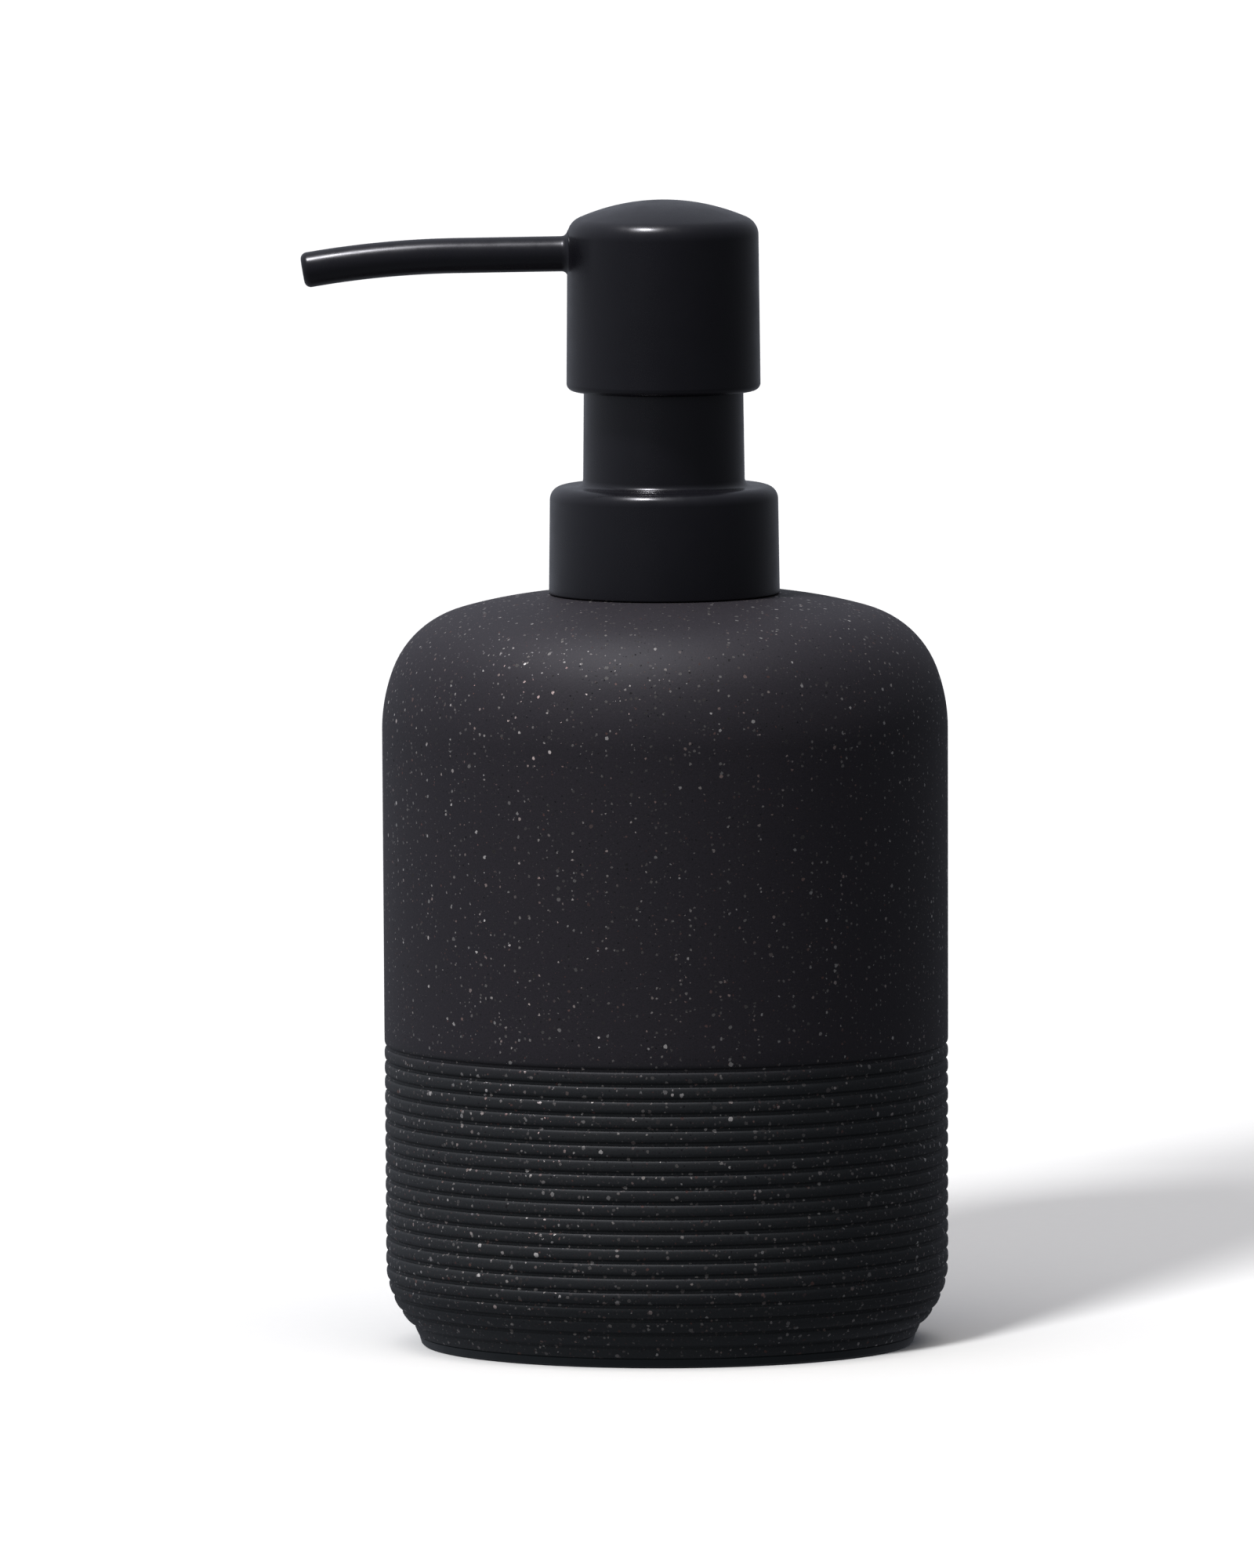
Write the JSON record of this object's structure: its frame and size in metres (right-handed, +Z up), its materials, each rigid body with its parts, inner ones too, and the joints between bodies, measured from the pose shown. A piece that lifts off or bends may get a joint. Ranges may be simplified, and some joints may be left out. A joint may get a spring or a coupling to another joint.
{
  "type": "soap pump dispenser",
  "caption": "Round ribbed bottle with a lotion pump: a domed head with a long thin spout presses down over a slim tower on a plain collar.",
  "frame": {"origin": "centre of the non-slip pad's lower face, on the pump's axis at table level", "axes": "+Z up along the pump's axis, the spout points along -X, and the bottle is symmetric about the XZ plane"},
  "size_m": [0.0877, 0.077, 0.156],
  "materials": {
    "stone_body": "matte",
    "base_plastic": "matte",
    "pad_rubber": "matte",
    "white_pp": "satin",
    "silicone": "satin",
    "black_plastic": "satin",
    "nut_pp": "satin",
    "foam_gasket": "matte",
    "natural_pp": "satin",
    "steel_ball": "polished",
    "spring_steel": "satin",
    "tube_pe": "satin",
    "piston_pe": "satin",
    "stem_pp": "gloss",
    "core_pp": "satin",
    "liner_pe": "satin"
  },
  "bodies": {
    "bottle": {"bottle_body": "stone_body", "base_plug": "base_plastic", "foot_pad": "pad_rubber"},
    "neck": {"neck_insert": "white_pp", "neck_seal": "silicone"},
    "pump": {"gasket": "foam_gasket", "pump_housing": "natural_pp", "chaplet": "white_pp", "ball_cage": "natural_pp", "return_spring": "spring_steel", "dip_tube": "tube_pe"},
    "closure": {"collar": "black_plastic", "closure_nut": "nut_pp"},
    "ball": {"check_ball": "steel_ball"},
    "stem": {"stem": "stem_pp", "valve_rod": "natural_pp"},
    "piston": {"piston": "piston_pe"},
    "head": {"head_core": "core_pp", "head_shell": "black_plastic", "spout_liner": "liner_pe"}
  },
  "joints": [
    {"name": "top_lift", "type": "slide", "parent": "bottle", "child": "neck", "axis": [0, 0, 1], "range_m": [0, 0.1]},
    {"name": "thread_rise", "type": "slide", "parent": "neck", "child": "pump", "axis": [0, 0, 1], "range_m": [0, 0.0048]},
    {"name": "collar_turn", "type": "hinge", "parent": "pump", "child": "closure", "pos_m": [0, 0, 0.11], "axis": [0, 0, 1], "range_deg": [0, 405]},
    {"name": "ball_lift", "type": "slide", "parent": "pump", "child": "ball", "axis": [0, 0, 1], "range_m": [0, 0.0015]},
    {"name": "pump_press", "type": "slide", "parent": "pump", "child": "stem", "axis": [0, 0, -1], "range_m": [0, 0.012], "stiffness_N_per_m": 900, "springref_m": -0.008, "deforming": ["return_spring"]},
    {"name": "valve_slip", "type": "slide", "parent": "stem", "child": "piston", "axis": [0, 0, 1], "range_m": [0, 0.0008]},
    {"name": "head_swivel", "type": "hinge", "parent": "stem", "child": "head", "pos_m": [0, 0, 0.14], "axis": [0, 0, 1], "continuous": true}
  ],
  "couplings": [
    {"joint": "thread_rise", "follows": "collar_turn", "m_per_rad": 0.00067375}
  ]
}
